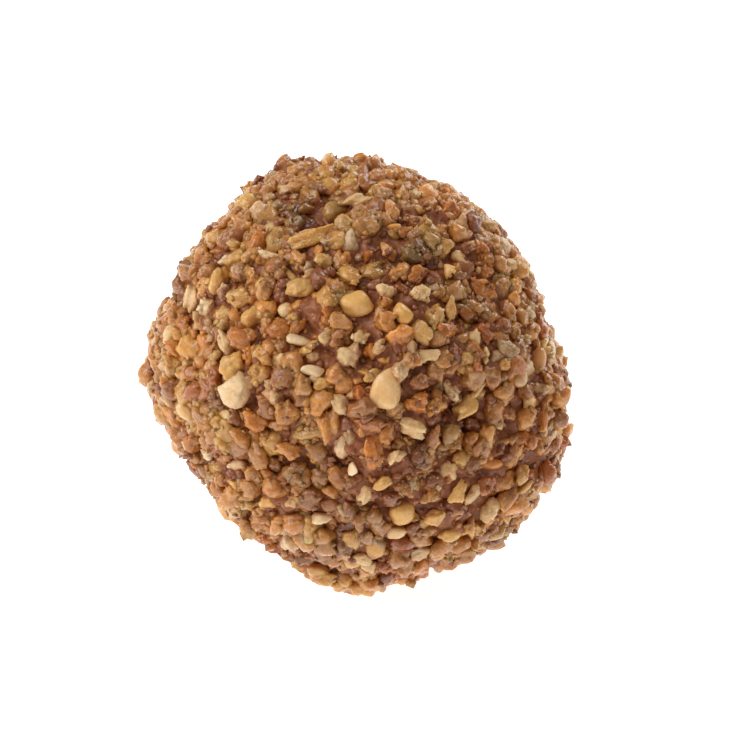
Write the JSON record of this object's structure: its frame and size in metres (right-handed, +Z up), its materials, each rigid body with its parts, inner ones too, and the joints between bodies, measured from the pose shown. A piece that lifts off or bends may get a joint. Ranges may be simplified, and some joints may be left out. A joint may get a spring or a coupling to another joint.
{
  "type": "nut-coated chocolate truffle",
  "caption": "Round hand-rolled chocolate truffle with an uneven coat of chopped roasted nuts, standing on a small flat spot.",
  "frame": {"origin": "on the surface the truffle stands on, under the middle of its bounding box", "axes": "+Z up from the flat spot; +X to the right of the shown side, -Y towards the viewer"},
  "size_m": [0.0312, 0.0304, 0.0285],
  "materials": {
    "chopped_nut": "matte",
    "milk_chocolate": "satin"
  },
  "bodies": {
    "root": {"truffle": "chopped_nut"}
  },
  "joints": []
}
